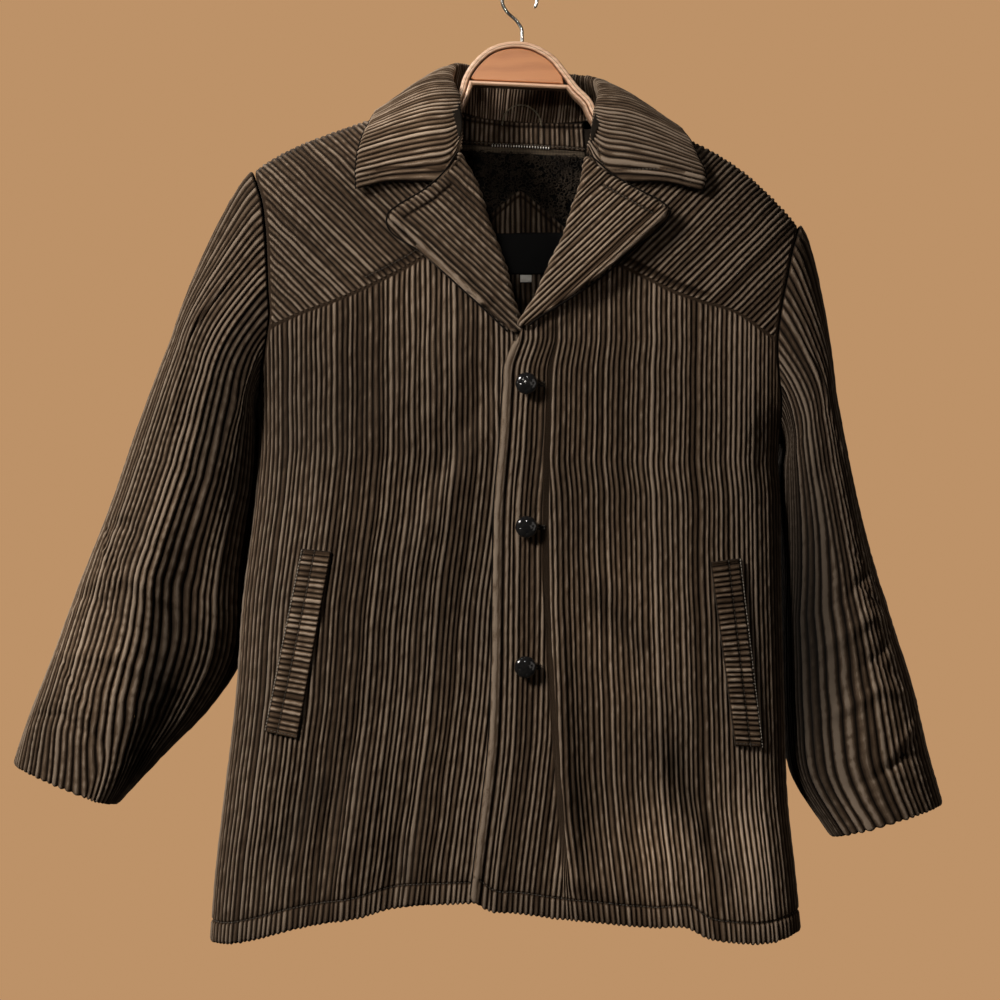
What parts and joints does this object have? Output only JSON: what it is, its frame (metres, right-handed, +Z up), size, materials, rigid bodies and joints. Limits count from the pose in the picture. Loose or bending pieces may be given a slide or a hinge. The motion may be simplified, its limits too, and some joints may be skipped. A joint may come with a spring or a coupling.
{
  "type": "corduroy coat on a wooden hanger",
  "caption": "Hip-length corduroy coat with notched lapels, pointed front yokes and slanted welt pockets, buttoned over a hollow body on a wooden hanger with a wire hook.",
  "frame": {"origin": "the point under the hook's bend where the hanger rests on its rail", "axes": "+Z up, the coat faces -Y, +X to the wearer's left"},
  "size_m": [0.854, 0.1571, 0.882],
  "materials": {
    "corduroy": "wide-wale cotton corduroy, dark olive brown",
    "pile": "dark curly pile",
    "tape": "woven zip tape",
    "label": "bare black woven label",
    "tab": "bare pale woven tab",
    "cord": "thin twisted cord",
    "button_leather": "glossy black woven leather",
    "maple": "laminated pale wood, satin lacquer",
    "panel_wood": "reddish wood, satin lacquer",
    "chrome": "bright plated wire"
  },
  "bodies": {
    "root": {"front_right": "corduroy", "front_left": "corduroy", "back": "corduroy", "yoke_right": "corduroy", "yoke_left": "corduroy", "lapel_right": "corduroy", "lapel_left": "corduroy", "sleeve_right_top": "corduroy", "sleeve_right_under": "corduroy", "sleeve_left_top": "corduroy", "sleeve_left_under": "corduroy", "collar": "corduroy", "welt_right": "corduroy", "welt_left": "corduroy", "neck_band": "corduroy", "zip_tape": "tape", "pile_lining": "pile", "back_facing": "corduroy", "label": "label", "size_tab": "tab", "hanging_loop": "cord", "button_1": "button_leather", "button_2": "button_leather", "button_3": "button_leather", "hanger_rim": "maple", "hanger_bar": "maple", "hanger_panel": "panel_wood", "hanger_hook": "chrome"}
  },
  "joints": []
}
